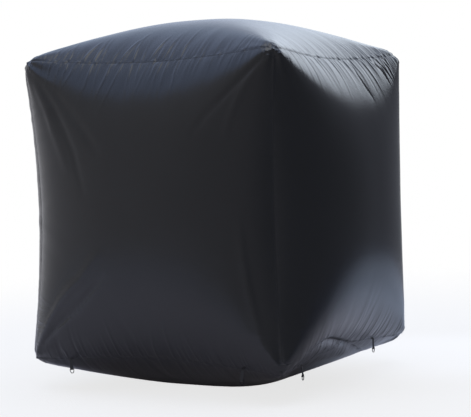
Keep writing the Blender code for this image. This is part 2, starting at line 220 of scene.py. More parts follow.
def makeLight():
    # a soft studio in the world's light: a pale blue ceiling with a glow behind the cube, and a grey wall all
    # round whose upper edge is low behind the cube and high beside it. The camera itself sees plain white
    world = bpy.data.worlds.new("softStudio")
    scene.world = world
    world.use_nodes = True
    tree = world.node_tree
    tree.nodes.clear()
    parts = addNode(tree, "SeparateXYZ", {0: addNode(tree, "TexCoord").outputs["Generated"]})
    turn = addNode(tree, "Math", {0: parts.outputs["X"], 1: parts.outputs["Y"]}, operation="ARCTAN2")
    turn = addNode(tree, "MapRange", {"Value": turn, "From Min": -math.pi, "From Max": math.pi})
    high = addNode(tree, "Math", {0: parts.outputs["Z"]}, operation="ARCSINE")
    high = addNode(tree, "Math", {0: high, 1: 180 / math.pi}, operation="MULTIPLY")
    full, blur, ramps = studio["full"], studio["edgeBlur"], {}
    for name in ("edge", "wall", "lowCeiling", "highCeiling"):
        ramps[name] = addNode(tree, "ValToRGB", {0: turn})
        points = ramps[name].color_ramp.elements
        while len(points) < len(studio[name]):
            points.new(0.5)
        for point, (azimuth, value) in zip(points, studio[name]):
            point.position = (azimuth + 180) / 360
            point.color = (*(np.broadcast_to(value, 3) / (90 if name == "edge" else full)), 1)
    edge = addNode(tree, "Math", {0: ramps["edge"], 1: 90.0}, operation="MULTIPLY")
    below = addNode(tree, "Math", {0: edge, 1: high}, operation="SUBTRACT")
    overhead = (*(value / full for value in studio["overhead"]), 1)
    light = layered(tree, ramps["lowCeiling"], (
        (high, *studio["highFade"], ramps["highCeiling"]), (high, *studio["overheadFade"], overhead),
        (below, -blur, blur, ramps["wall"]),
        (addNode(tree, "LightPath").outputs["Is Camera Ray"], 0, 1, (1 / full, 1 / full, 1 / full, 1))))
    shine = addNode(tree, "Background", {"Color": light, "Strength": full})
    addNode(tree, "OutputWorld", {"Surface": shine})


# Floor: pale and matt, and gone before its edge shows
floorLook = {
    "radius": 9.0, "sides": 96, "drop": 0.5 * mm, "gone": (2.2, 8.5),       # it fades out between these
    "seen": "#f3f3f4", "shown": 0.24,                # what the camera sees of it, and how solid
    "near": "#f6eeef", "far": "#e4e2e5", "farShadeFade": (1.9, 4.5),             # painted shade: darker by distance from the middle
    # painted shade: the floor is darker to the right
    "right": "#7f828c", "rightShadeFade": (0.9, 3.3),
    "pool": "#eaf1fa", "poolAt": (1.5, 3.0, 0), "poolFade": (2.7, 1.1),     # a painted pool of light behind the cube
    # soft painted glows that the floor itself emits: middle, full and end of the fade, strength
    "glows": (((1.0, 1.3, 0), 0.5, 1.5, 0.26), ((-2.9, -2.2, 0), 0.5, 2.0, 0.10),
              ((0, -1.7, 0), 0.3, 1.4, 0.05)),
    "glow": "#d6e2ff",
}


def makeFloor():
    # a round matt floor that fades out into the white background. Reflections see painted shade, darker far
    # out and to the right, a painted pool of light behind the cube and three faint painted glows that it
    # emits
    made, tree, shader = newMaterial("paleStudioFloor", Roughness=0.9)
    place = addNode(tree, "TexCoord").outputs["Object"]
    toRight = addNode(tree, "SeparateXYZ", {0: place}).outputs["X"]
    far = addNode(tree, "VectorMath", {0: place}, operation="LENGTH")
    fromPool = addNode(tree, "VectorMath", {0: place, 1: floorLook["poolAt"]}, operation="DISTANCE")
    seen = addNode(tree, "LightPath").outputs["Is Camera Ray"]
    # painted shade and light in the colour: darker far out and to the right, paler in the pool behind the
    # cube
    colour = layered(tree, linear(floorLook["near"]), (
        (far, *floorLook["farShadeFade"], linear(floorLook["far"])),
        (toRight, *floorLook["rightShadeFade"], linear(floorLook["right"])),
        (fromPool, *floorLook["poolFade"], linear(floorLook["pool"])),
        (seen, 0, 1, linear(floorLook["seen"]))))
    # painted glows: the floor emits a faint light of its own in three soft spots
    shine = 0.0
    for spot, full, end, strength in floorLook["glows"]:
        away = addNode(tree, "VectorMath", {0: place, 1: spot}, operation="DISTANCE")
        share = addNode(tree, "MapRange", {"Value": away, "From Min": end, "From Max": full,
                                           "To Max": strength}, interpolation_type="SMOOTHSTEP")
        shine = addNode(tree, "Math", {0: share, 1: shine}, operation="ADD")
    full, gone = floorLook["gone"]
    shown = addNode(tree, "MapRange", {"Value": far, "From Min": full, "From Max": gone, "To Min": 1.0,
                                       "To Max": 0.0}, interpolation_type="SMOOTHSTEP")
    faint = addNode(tree, "MapRange", {"Value": seen, "To Min": 1.0, "To Max": floorLook["shown"]})
    shown = addNode(tree, "Math", {0: shown, 1: faint}, operation="MULTIPLY")
    feed(tree, shader, {"Base Color": colour, "Emission Strength": shine, "Alpha": shown,
                        "Emission Color": linear(floorLook["glow"])})
    turns = np.linspace(0, 2 * np.pi, floorLook["sides"], endpoint=False)
    ring = stacked(np.cos(turns), np.sin(turns), 0) * floorLook["radius"]
    mesh = bpy.data.meshes.new("studioFloor")
    mesh.from_pydata(ring.tolist(), [], [list(range(len(ring)))])
    mesh.materials.append(made)
    floor = bpy.data.objects.new("studioFloor", mesh)
    floor.location.z = -floorLook["drop"]
    scene.collection.objects.link(floor)


# Skin: a box of cloth that can't stretch, blown tight on the ground
skin = {
    "cutSize": (2.00, 2.00, 2.13),      # flat size of the panels along x, y and z
    "cornerShare": 0.9835,              # the seams' ends draw in to this share
    "seamDip": (0.059, 0.059, 0.068),   # how far the middle of a seam is pulled in
    "wallDome": 0.370, "topDome": 0.376, "baseDome": 0.356,
    "domeRise": 2.41, "domeSquare": 2.1, "edgeCrowd": 4.4,
    "contactDepth": 0.040,              # the base is pressed flat by this much
    "topBlunt": (0.034, 0.065), "baseBlunt": (0.026, 0.075),    # how far a corner is pushed in, and its reach
    "edgeLift": 0.7,                    # share of a lift that each axis takes at a seam
}
faces = {"top": (2, 1), "base": (2, -1), "front": (1, -1), "back": (1, 1), "right": (0, 1), "left": (0, -1)}
half = np.array(skin["cutSize"]) / 2
corner = half * skin["cornerShare"]
baseReach = corner[2] - skin["seamDip"][0] - skin["seamDip"][1] + skin["baseDome"] - skin["contactDepth"]
middle = np.array([0, 0, baseReach])


def sideways(face):
    return [axis for axis in range(3) if axis != faces[face][0]]


def drawnIn(share, flat, end, dip):
    # even over most of the panel, crowded close to the dipping seam: flat x - (flat - end + dip) x^crowd
    size = np.abs(share)
    return np.copysign(flat * size - (flat - end + dip) * size ** skin["edgeCrowd"], share)


def skinPoint(face, s, t, lift=0.0):
    # smooth point of a panel at shares s and t of its half sides: a dome over a square whose sides dip by a
    # cosine, its height (a^-q + b^-q - 1)^(-1/q) of two rises 1 - |s|^p and 1 - |t|^p, with blunt corners
    s, t = np.broadcast_arrays(np.asarray(s, float), np.asarray(t, float))
    facing, sign = faces[face]
    u, v = sideways(face)
    across = skin["seamDip"][v] * np.cos(np.pi * t / 2)
    along = skin["seamDip"][u] * np.cos(np.pi * s / 2)
    edge = skin["edgeLift"] * lift
    square = skin["domeSquare"]
    riseS = np.maximum(1 - np.abs(s) ** skin["domeRise"], 1e-6)
    riseT = np.maximum(1 - np.abs(t) ** skin["domeRise"], 1e-6)
    dome = (riseS ** -square + riseT ** -square - 1) ** (-1 / square)
    top = skin.get(face + "Dome", skin["wallDome"])
    height = corner[facing] + edge - across - along + (top + lift - edge) * dome
    if face == "base":
        height = np.minimum(height, baseReach + lift)
    place = np.zeros(s.shape + (3,))
    place[..., u] = drawnIn(s, half[u] + edge, corner[u] + edge, across)
    place[..., v] = drawnIn(t, half[v] + edge, corner[v] + edge, along)
    place[..., facing] = sign * height
    tip = np.copysign(corner, place)
    depth, reach = [np.where(tip[..., 2:] > 0, *pair) for pair in zip(skin["topBlunt"], skin["baseBlunt"])]
    near = (np.linalg.norm(place - tip, axis=-1, keepdims=True) / reach) ** 2
    place -= unit(place) * depth * np.exp(-near)
    return place + middle


def skinNormal(face, s, t):
    # cross product of the steps to the points just beside, pointing outwards
    near = 1e-4
    a = skinPoint(face, s + near, t) - skinPoint(face, s - near, t)
    b = skinPoint(face, s, t + near) - skinPoint(face, s, t - near)
    normal = unit(np.cross(a, b))
    facing, sign = faces[face]
    return normal * np.sign(normal[..., facing] * sign)[..., None]


# Wrinkles stand across each seam, where the drawn-in seam leaves 27 mm in a metre too much cloth. upright is
# their share on the upright seams, pinned the strip that the stitching holds flat
longWrinkles = {
    "perMetre": 12, "length": (0.20, 0.50), "width": (7.5 * mm, 11 * mm), "height": (1.9 * mm, 3.5 * mm),
    "lean": 0.05, "bend": 0.2, "grooves": 0.2, "kinked": 0.25, "kink": 8 * mm, "pinned": 9 * mm,
    "upright": 0.16,
}
fineWrinkles = {
    "perMetre": 26, "length": (0.07, 0.24), "width": (5 * mm, 7.5 * mm), "height": (0.7 * mm, 1.6 * mm),
    "lean": 0.07, "bend": 0.35, "grooves": 0.3, "kinked": 0.1, "kink": 6 * mm, "pinned": 8 * mm,
    "upright": 0.3,
}
ripples = {                             # broader and longer, between the wrinkles
    "perMetre": 6, "length": (0.25, 0.65), "width": (24 * mm, 48 * mm), "height": (1.6 * mm, 4.5 * mm),
    "lean": 0.1, "bend": 0.3, "grooves": 0.5, "kinked": 0.0, "kink": 0.0, "pinned": 30 * mm, "upright": 0.4,
}
# panel, axis and side of the seams where the wrinkles are calmer or wilder than elsewhere
seamShares = {("top", 0, 1): 0.45, ("top", 1, 1): 0.7, ("front", 2, -1): 1.5, ("right", 2, -1): 1.2,
              ("front", 0, -1): 2.2, ("left", 1, -1): 2.2}
puckers = {"height": 1.4 * mm, "waves": (11, 17, 23, 31, 43), "reach": 16 * mm, "upright": 0.3}
cornerFolds = {
    "count": 8, "length": (0.30, 0.75), "width": (12 * mm, 20 * mm), "spread": 0.10,
    "height": (2.5 * mm, 7 * mm), "start": 0.05,
}
crumples = {"height": 0.9 * mm, "reach": 0.10, "waves": 9, "length": (22 * mm, 55 * mm)}
kinkReach = 7 * mm                      # a kinked wrinkle steps aside over about this far
heldFlat = 7 * mm                       # the stitching holds the cloth flat this close to a seam


def crest(x):
    # a crest with shallow troughs on both sides: e^(-x^2) less a third of a wider e^(-x^2 / 6)
    return np.exp(-x * x) - 0.33 * np.exp(-x * x / 6.0)


def acrossSeam(kinds, seed, place, far, reach, side):
    # sum of the crests that start along one seam. place is the distance along it, far the distance from it,
    # and side, 1 or -1, lets a crest run straight on from one panel of the seam to the other
    draw = np.random.default_rng(seed)
    count = int(kinds["perMetre"] * 2 * reach)
    root = (np.arange(count) + draw.uniform(0.1, 0.9, count)) / count * 2 - 1
    root *= 0.97
    taper = 0.38 + 0.62 * (1 - np.abs(root) ** 2.4)     # shorter and lower towards the seam's ends
    length = draw.uniform(*kinds["length"], count) * taper
    width = draw.uniform(*kinds["width"], count) * (0.75 + 0.25 * taper)
    height = draw.uniform(*kinds["height"], count) * taper ** 0.5
    height *= np.where(draw.random(count) < kinds["grooves"], -0.8, 1.0)
    lean = draw.normal(0, kinds["lean"], count) - 0.10 * root       # leans more near the seam's ends
    bend = draw.normal(0, kinds["bend"], count)
    kink = np.where(draw.random(count) < kinds["kinked"], draw.choice([-1, 1], count) * kinds["kink"], 0)
    kinkAt = draw.uniform(0.25, 0.6, count) * length
    shape = np.zeros(place.shape)
    picked = far < kinds["length"][1] * 1.05
    p, d = place[picked][:, None], far[picked][:, None]
    step = (np.tanh((d - kinkAt) / kinkReach) + 1) / 2
    line = root * reach + side * (lean * d + bend * d * d) + kink * step
    share = np.clip(d / length, 0, 1)
    wide = width * (0.85 + 0.9 * share)                 # widens and dies out along its length
    fade = (1 - share ** 2) ** 2 * (0.65 + 0.35 * smooth(0, 0.05, d))
    shape[picked] = (height * fade * crest((p - line) / wide)).sum(1)
    return shape * (1 - np.exp(-(far / kinds["pinned"]) ** 2))


def fromCorner(kinds, seed, along, aside):
    # sum of the crests that fan out from one corner: each keeps to its own direction and grows wider
    draw = np.random.default_rng(seed)
    count = kinds["count"]
    # spread from one seam of the panel to the other, longest halfway between them
    way = np.radians(np.linspace(7, 83, count) + draw.uniform(-5, 5, count))
    length = draw.uniform(*kinds["length"], count) * (0.55 + 0.45 * np.sin(2 * way))
    height = draw.uniform(*kinds["height"], count) * draw.choice([-1, 1], count, p=(0.4, 0.6))
    width = draw.uniform(*kinds["width"], count)
    far = np.hypot(along, aside)
    shape = np.zeros(far.shape)
    picked = far < kinds["length"][1]
    x, y, r = along[picked][:, None], aside[picked][:, None], far[picked][:, None]
    off = x * np.sin(way) - y * np.cos(way)
    share = np.clip(r / length, 0, 1)
    fade = smooth(0, kinds["start"] * 2, r) * (1 - share ** 2) ** 2
    shape[picked] = (height * fade * crest(off / (width + kinds["spread"] * r))).sum(1)
    return shape


def crumpled(kinds, seed, along, aside):
    # a few crossing waves that fade out e^(-(r / reach)^2) from the corner
    draw = np.random.default_rng(seed)
    far = np.hypot(along, aside)
    shape = np.zeros(far.shape)
    picked = far < 2.6 * kinds["reach"]
    x, y = along[picked][:, None], aside[picked][:, None]
    way = draw.uniform(0, np.pi, kinds["waves"])
    wave = 2 * np.pi / draw.uniform(*kinds["length"], kinds["waves"])
    turn = draw.uniform(0, 2 * np.pi, kinds["waves"])
    sums = np.sin((x * np.cos(way) + y * np.sin(way)) * wave + turn).sum(1) / np.sqrt(kinds["waves"] / 2)
    shape[picked] = kinds["height"] * sums * np.exp(-(far[picked] / kinds["reach"]) ** 2)
    return shape


# Single folds that the photo shows: panel, bent line of (s, t) shares on it, half widths in mm to the left
# and right of the way it runs, height in mm
singleFolds = (
    ("front", ((-0.86, -0.86), (-0.71, -0.75), (-0.60, -0.68), (-0.48, -0.60), (-0.39, -0.53),
               (-0.23, -0.40)), 20, 16, -14),
    ("front", ((-0.88, -0.84), (-0.78, -0.71), (-0.65, -0.58), (-0.54, -0.49), (-0.43, -0.42),
               (-0.26, -0.25)), 30, 36, 12),
    ("front", ((-0.94, 0.94), (-0.80, 0.82), (-0.66, 0.68), (-0.55, 0.53), (-0.45, 0.38), (-0.36, 0.13)),
     26, 26, -9),
    ("front", ((-0.92, 0.90), (-0.84, 0.80), (-0.73, 0.66), (-0.66, 0.53), (-0.58, 0.40), (-0.51, 0.27)),
     34, 34, 9),
    ("front", ((-0.88, 0.91), (-0.65, 0.76), (-0.50, 0.63), (-0.35, 0.50), (-0.24, 0.38)), 28, 28, -8),
    ("front", ((0.95, 0.95), (0.85, 0.86), (0.74, 0.76), (0.66, 0.68), (0.57, 0.60), (0.47, 0.48)),
     24, 24, -8),
    ("front", ((0.94, 0.92), (0.84, 0.79), (0.78, 0.69), (0.73, 0.58), (0.69, 0.45)), 24, 24, 8),
    ("front", ((0.90, -0.84), (0.84, -0.59), (0.81, -0.45), (0.78, -0.25), (0.76, -0.05)), 26, 26, 7),
    ("right", ((-0.66, -0.895), (-0.50, -0.868), (-0.35, -0.88), (-0.17, -0.925), (0.02, -0.975),
               (0.12, -0.995)), 19, 42, -25),
    ("base", ((1.0, 0.02), (0.985, 0.14), (0.94, 0.27), (0.84, 0.55), (0.80, 0.66)), 40, 24, -18),
    ("base", ((0.93, -0.30), (0.90, -0.05), (0.87, 0.20), (0.84, 0.35)), 60, 60, 14),
    ("right", ((0.20, 0.985), (0.165, 0.86), (0.178, 0.76), (0.21, 0.68)), 11, 11, -4.5),
    ("right", ((0.52, 0.975), (0.58, 0.89), (0.60, 0.78)), 10, 10, -4.5),
    ("right", ((0.60, 0.975), (0.64, 0.90), (0.67, 0.79)), 9, 9, -4.5),
    ("right", ((0.70, 0.965), (0.72, 0.90), (0.71, 0.80)), 10, 10, 5),
    ("top", ((-0.52, -0.985), (-0.50, -0.90), (-0.47, -0.78)), 9, 9, 3.5),
    ("top", ((-0.22, -0.985), (-0.20, -0.90), (-0.17, -0.76)), 9, 9, 3.2),
    ("top", ((0.02, -0.985), (0.03, -0.90), (0.06, -0.74)), 9, 9, 3.2),
    ("front", ((-0.55, 0.985), (-0.57, 0.90), (-0.60, 0.82)), 10, 10, 1.8),
    ("front", ((-0.27, 0.985), (-0.28, 0.86), (-0.31, 0.72)), 10, 10, 2.0),
    ("front", ((0.02, 0.985), (0.01, 0.86), (-0.01, 0.73)), 10, 10, 1.8),
)


def alongLine(points, left, right, height, x, y):
    # height e^(-(distance / width)^2) about a bent line, fading in and out along it by a sine. Each side has
    # its own width, so that a tuck can be steep on one side
    points = np.array(points)
    steps = np.linspace(0, 1, 60)
    knots = np.linspace(0, 1, len(points))
    lineX, lineY = (np.interp(steps, knots, points[:, k]) for k in (0, 1))
    shape = np.zeros(x.shape)
    span = 3 * max(left, right)
    picked = ((x > lineX.min() - span) & (x < lineX.max() + span)
              & (y > lineY.min() - span) & (y < lineY.max() + span))
    gap = np.hypot(x[picked][:, None] - lineX, y[picked][:, None] - lineY)
    near = gap.argmin(1)
    aheadX, aheadY = np.gradient(lineX)[near], np.gradient(lineY)[near]
    turning = aheadX * (y[picked] - lineY[near]) - aheadY * (x[picked] - lineX[near])
    width = np.where(turning > 0, left, right)
    fade = np.sin(np.pi * np.clip(steps[near] * 0.94 + 0.03, 0, 1)) ** 0.6
    shape[picked] = height * fade * np.exp(-(gap.min(1) / width) ** 2)
    return shape


def reliefOf(face, s, t):
    # how far the cloth stands off the smooth skin at shares s and t
    u, v = sideways(face)
    x, y = s * half[u], t * half[v]
    order = list(faces).index(face)
    relief = np.zeros(s.shape)
    facing, sign = faces[face]
    for side in (-1, 1):
        for run, other, along, far in ((u, v, x, half[v] - side * y), (v, u, y, half[u] - side * x)):
            signs = (sign, side) if facing < other else (side, sign)
            seed = 1000 + 100 * run + 20 * (signs[0] > 0) + 40 * (signs[1] > 0)
            share = seamShares.get((face, other, side), 1.0)
            onward = 1 if facing < other else -1
            for n, kinds in enumerate((longWrinkles, fineWrinkles, ripples)):
                calm = share * (kinds["upright"] if run == 2 else 1)
                relief += calm * acrossSeam(kinds, seed + n, along, far, half[run], onward)
        for other in (-1, 1):
            seed = 5000 + 100 * order + 10 * (side > 0) + (other > 0)
            along, aside = half[u] - side * x, half[v] - other * y
            relief += fromCorner(cornerFolds, seed, along, aside)
            relief += crumpled(crumples, seed + 50, along, aside)
    for owner, line, left, right, height in singleFolds:
        if owner == face:
            relief += alongLine(np.array(line) * (half[u], half[v]), left * mm, right * mm, height * mm, x, y)
    near = np.minimum(half[u] - np.abs(x), half[v] - np.abs(y))
    return relief * (1 - np.exp(-(near / heldFlat) ** 2))


seamTucks = {(1, 1): (0.07, 0.10, -20 * mm)}    # the right foot seam is drawn in: middle, half width, depth


def puckerOf(axis, others, place):
    # the seam's own in-and-out, the same on both of its panels: a sum of sines with seeded phases, and a
    # tuck, depth e^(-((place - middle) / width)^2)
    draw = np.random.default_rng(900 + 10 * axis + others)
    turn = draw.uniform(0, 2 * np.pi, len(puckers["waves"]))
    waves = sum(np.sin(np.pi * n * place + a) for n, a in zip(puckers["waves"], turn))
    waves *= puckers["height"] * (puckers["upright"] if axis == 2 else 1) / 1.6 * (1 - place ** 8)
    at, width, depth = seamTucks.get((axis, others), (0, 1, 0))
    return waves + depth * np.exp(-((place - at) / width) ** 2)


valveSeat = {"cell": ((-0.58, -0.4), (-0.58, -0.4)), "flat": 42 * mm, "blend": 120 * mm}


def valveFrame():
    # the valve's place and directions: middle of the inner circle of one flat facet of the back panel
    (s0, s1), (t0, t1) = valveSeat["cell"]
    a, b, c = [skinPoint("back", s, t) for s, t in ((s0, t0), (s1, t1), (s0, t1))]
    sides = np.array([np.linalg.norm(b - c), np.linalg.norm(c - a), np.linalg.norm(a - b)])
    place = (np.stack([a, b, c]) * sides[:, None]).sum(0) / sides.sum()
    normal = unit(np.cross(b - a, c - a))
    normal *= np.sign(normal[1])
    along = unit(np.cross((0, 0, 1), normal))
    return place, np.stack([along, np.cross(normal, along), normal])


def flattened(face, place):
    # the stiff flange pulls the cloth round it onto its own plane
    if face != "back":
        return place
    origin, axes = valveFrame()
    local = (place - origin) @ axes.T
    near = 1 - smooth(valveSeat["flat"], valveSeat["blend"], np.linalg.norm(local[..., :2], axis=-1))
    return place - (local[..., 2] * near)[..., None] * axes[2]


def clothPoint(face, s, t, lift=0.0, outwards=False):
    # the wrinkled cloth: smooth skin, relief along its normal, puckers of the near seams. lift stands it off
    # along the normal, or away from the cube's middle where three panels have to meet
    s, t = np.broadcast_arrays(np.asarray(s, float), np.asarray(t, float))
    place = skinPoint(face, s, t)
    away = place - middle
    normal = skinNormal(face, s, t)
    lifted = (unit(away) if outwards else normal) * np.broadcast_to(lift, s.shape)[..., None]
    place += normal * reliefOf(face, s, t)[..., None] + lifted
    u, v = sideways(face)
    facing, sign = faces[face]
    for run, other, q, w in ((u, v, s, t), (v, u, t, s)):
        far = (1 - np.abs(w)) * half[other]
        way = away.copy()
        way[..., run] = 0
        way = unit(way)
        near = np.exp(-(far / puckers["reach"]) ** 2)
        for side in (-1, 1):
            signs = (sign, side) if facing < other else (side, sign)
            push = puckerOf(run, (signs[0] > 0) + 2 * (signs[1] > 0), q) * near
            place += way * (push * (w * side > 0))[..., None]
    return flattened(face, place)


def panelNet(fine, rows, deep):
    # a net over the square -1..1 that is close beside the seams and four times wider inside. Its outer frame
    # is four mitred strips: fine columns square to the seam, cut off at the corner's diagonal, and rows at
    # the given depths. A ring of many-sided cells joins it to the inner grid. deep is the frame's depth in
    # wide cells
    lines = -1 + 2 * np.arange(fine + 1) / fine
    frameDepth = deep * 8 / fine
    depths = np.append(rows[rows < frameDepth - 0.003], frameDepth)
    level = 1 - np.minimum(depths, 1 - np.abs(lines[:, None]))
    strip = stacked(lines[:, None], level)
    turns = np.array((((1, 0), (0, 1)), ((0, -1), (1, 0)), ((-1, 0), (0, -1)), ((0, 1), (-1, 0))))
    wide = fine // 4
    inner = lines[::4][deep + 1:wide - deep]
    grid = stacked(inner[:, None], inner)
    spots = [(strip @ turn.T).reshape(-1, 2) for turn in turns] + [grid.reshape(-1, 2)]
    cells = [gridFaces(*level.shape, first=k * level.size) for k in range(4)]
    cells.append(gridFaces(len(inner), len(inner), first=4 * level.size))
    # the ring: seven corners in each cell, ten in the four at its own corners
    edge, inside = lines[4 * deep], lines[4 * deep + 4]
    starts = 4 * np.arange(deep + 1, wide - deep - 1)[:, None]
    outer = stacked(lines[starts + np.arange(5)], -edge)
    low = stacked(lines[starts + np.array([4, 0])], -inside)
    seven = np.concatenate([outer, low], 1)
    first = lines[4 * deep:4 * deep + 5]
    ten = np.concatenate([stacked(first[::-1], edge), stacked(edge, first[1:]), [[inside, inside]]])[None]
    rings = [np.concatenate([part @ turn.T for turn in turns]) for part in (seven, ten)]
    spots = np.concatenate(spots + [part.reshape(-1, 2) for part in rings])
    count = 4 * level.size + len(inner) ** 2
    cells = [np.concatenate(cells)]
    for part in rings:
        cells.append(count + np.arange(part.shape[0] * part.shape[1]).reshape(part.shape[:2]))
        count += cells[-1].size
    keys, place = np.unique(np.round(spots * 1e6).astype(np.int64), axis=0, return_inverse=True)
    spots = keys / 1e6
    place = place.ravel()
    a, b, c, d = place[cells[0]].T
    flat = ((a == d) & (b == c)) | ((a == b) & (c == d))
    three = ((a == d) | (b == c) | (a == b) | (c == d)) & ~flat
    quads = stacked(a, b, c, d)[~flat & ~three]
    triples = stacked(a, np.where(a == b, c, b), np.where((a == b) | (b == c) | (c == d), d, c))[three]
    parts = [quads, triples, place[cells[1]], place[cells[2]]]
    for k, part in enumerate(parts):
        x, y = spots[part][..., 0], spots[part][..., 1]
        turning = (x * np.roll(y, -1, 1) - y * np.roll(x, -1, 1)).sum(1)
        parts[k] = np.where((turning < 0)[:, None], part[:, ::-1], part)
    return spots, parts


# Panels: one net of wrinkled cloth for each
panelNets = {                           # fine columns across, and depth of the fine frame in wide cells
    "front": (544, 31), "right": (544, 31), "top": (544, 31), "back": (344, 18), "left": (344, 18),
    "base": (200, 10),
}
netRows = np.concatenate([[0, 1.5, 3.5, 6, 9, 13], np.arange(18, 140, 9), np.arange(140, 320, 15),
                          np.arange(320, 700, 28)]) * mm


# Materials: what is woven follows its own cloth coordinates, the rest is mottled in place
cloth = {
    "colour": "#17181a", "worn": "#242528", "roughness": 0.2, "wornRoughness": 0.36,
    "patchesPerMetre": 2.6, "patches": 0.35,        # broad patches of the worn look, and how strong
    "rubbed": 0.5, "rubbedReach": 10 * mm,          # worn beside the seams
    "thread": 1.4 * mm, "weaveDepth": 0.02 * mm, "dentDepth": 0.25 * mm, "dentsPerMetre": 16,
}


def threadWaves(tree, pitches):
    # the piece's cloth coordinates, and along each a sine that has one wave for each thread
    place = addNode(tree, "UVMap", uv_map="cloth")
    parts = addNode(tree, "SeparateXYZ", {0: place})
    waves = []
    for axis, pitch in zip("XY", pitches):
        turn = addNode(tree, "Math", {0: parts.outputs[axis], 1: 2 * math.pi / pitch}, operation="MULTIPLY")
        waves.append(addNode(tree, "Math", {0: turn}, operation="SINE"))
    return place, *waves


def coatedPolyester():
    # polyester oxford with a smooth polyurethane coat: near black, with a clear gloss that gives sharp-edged
    # reflections, a faint plain weave under the coat (0.5 mm threads, drawn at 1.4 mm), duller where rubbed
    made, tree, shader = newMaterial("coatedPolyester", IOR=1.5)
    place, warp, weft = threadWaves(tree, (cloth["thread"], cloth["thread"]))
    weave = addNode(tree, "Math", {0: warp, 1: weft}, operation="MULTIPLY")
    cloud = addNode(tree, "TexNoise", {"Vector": place, "Scale": cloth["patchesPerMetre"], "Detail": 4.0},
                    noise_dimensions="2D")
    rubbed = addNode(tree, "Attribute", attribute_name="rubbed").outputs["Fac"]
    share = addNode(tree, "Math", {0: cloud, 1: cloth["patches"], 2: rubbed}, operation="MULTIPLY_ADD")
    colour = addNode(tree, "Mix", {"Factor": share, "A": linear(cloth["colour"]), "B": linear(cloth["worn"])},
                     data_type="RGBA")
    gloss = addNode(tree, "MapRange", {"Value": share, "To Min": cloth["roughness"],
                                       "To Max": cloth["wornRoughness"]})
    dents = addNode(tree, "TexNoise", {"Vector": place, "Scale": cloth["dentsPerMetre"], "Detail": 3.0},
                    noise_dimensions="2D")
    soft = addNode(tree, "Bump", {"Height": dents, "Distance": cloth["dentDepth"]})
    fine = addNode(tree, "Bump", {"Height": weave, "Distance": cloth["weaveDepth"], "Normal": soft})
    feed(tree, shader, {"Base Color": colour, "Roughness": gloss, "Normal": fine})
    return made


def wovenWebbing():
    # polyester webbing: ribs along the strap 1.6 mm apart, crossed by the weft each 1.1 mm, dull black
    made, tree, shader = newMaterial("wovenPolyesterWebbing", Roughness=0.7, IOR=1.5)
    place, weft, rib = threadWaves(tree, (1.1 * mm, 1.6 * mm))
    weave = addNode(tree, "Math", {0: weft, 1: rib}, operation="MULTIPLY")
    height = addNode(tree, "Math", {0: rib, 1: 0.5, 2: weave}, operation="MULTIPLY_ADD")
    # painted shade: the colour goes darker where the weave lies low and paler on its tops
    share = addNode(tree, "MapRange", {"Value": height, "From Min": -1.5, "From Max": 1.5})
    colour = addNode(tree, "Mix", {"Factor": share, "A": linear("#0e0f10"), "B": linear("#2c2d30")},
                     data_type="RGBA")
    bump = addNode(tree, "Bump", {"Height": height, "Distance": 0.25 * mm})
    feed(tree, shader, {"Base Color": colour, "Normal": bump, "Sheen Weight": 0.2})
    return made


def wovenZipTape():
    # woven polyester zip tape: herringbone ribs 2.2 mm apart that change direction every 6 mm, matt
    made, tree, shader = newMaterial("wovenZipTape", Roughness=0.72, IOR=1.5)
    parts = addNode(tree, "SeparateXYZ", {0: addNode(tree, "UVMap", uv_map="cloth")})
    zig = addNode(tree, "Math", {0: parts.outputs["Y"], 1: 6 * mm}, operation="PINGPONG")
    slant = addNode(tree, "Math", {0: parts.outputs["X"], 1: zig}, operation="ADD")
    turn = addNode(tree, "Math", {0: slant, 1: 2 * math.pi / (2.2 * mm)}, operation="MULTIPLY")
    rib = addNode(tree, "Math", {0: turn}, operation="SINE")
    # painted shade: the colour goes darker in the ribs' grooves and paler on their crests
    share = addNode(tree, "MapRange", {"Value": rib, "From Min": -1.0, "From Max": 1.0})
    colour = addNode(tree, "Mix", {"Factor": share, "A": linear("#101113"), "B": linear("#2a2b2e")},
                     data_type="RGBA")
    bump = addNode(tree, "Bump", {"Height": rib, "Distance": 0.2 * mm})
    feed(tree, shader, {"Base Color": colour, "Normal": bump, "Sheen Weight": 0.2})
    return made


def mottled(name, look, **fixed):
    # a material mottled by a noise in the piece's own place: it mixes two colours and, where the look has
    # them, two roughnesses. bumps are the size, detail and depth of a noise that lifts the surface
    made, tree, shader = newMaterial(name, **fixed)
    place = addNode(tree, "TexCoord").outputs["Object"]
    cloud = addNode(tree, "TexNoise", {"Vector": place, "Scale": 1 / look["patch"], "Detail": look["detail"]})
    dark, pale = [linear(code) for code in look["colours"]]
    inputs = {"Base Color": addNode(tree, "Mix", {"Factor": cloud, "A": dark, "B": pale}, data_type="RGBA")}
    if "rough" in look:
        low, high = look["rough"]
        inputs["Roughness"] = addNode(tree, "MapRange", {"Value": cloud, "From Min": 0.3, "From Max": 0.7,
                                                         "To Min": low, "To Max": high})
    if "bumps" in look:
        size, detail, depth = look["bumps"]
        grain = addNode(tree, "TexNoise", {"Vector": place, "Scale": 1 / size, "Detail": detail})
        inputs["Normal"] = addNode(tree, "Bump", {"Height": grain, "Distance": depth})
    feed(tree, shader, inputs)
    return made


def spunPolyesterThread():
    # spun polyester sewing thread: matt and a touch paler than the cloth, with its twist as fine bumps
    # (0.4 mm, drawn at 0.6 mm)
    look = {"colours": ("#17181a", "#34363a"), "patch": 0.6 * mm, "detail": 2.0,
            "bumps": (0.6 * mm, 2.0, 0.1 * mm)}
    return mottled("spunPolyesterThread", look, Roughness=0.62, IOR=1.5)


def blackZincSteel():
    # welded steel wire with black passivated zinc: dark satin metal, uneven, finely scratched by hooks
    look = {"colours": ("#1d1e20", "#3c3d41"), "patch": 5 * mm, "detail": 5.0, "rough": (0.2, 0.42),
            "bumps": (0.7 * mm, 3.0, 0.04 * mm)}
    return mottled("blackZincPlatedSteel", look, Metallic=1.0)


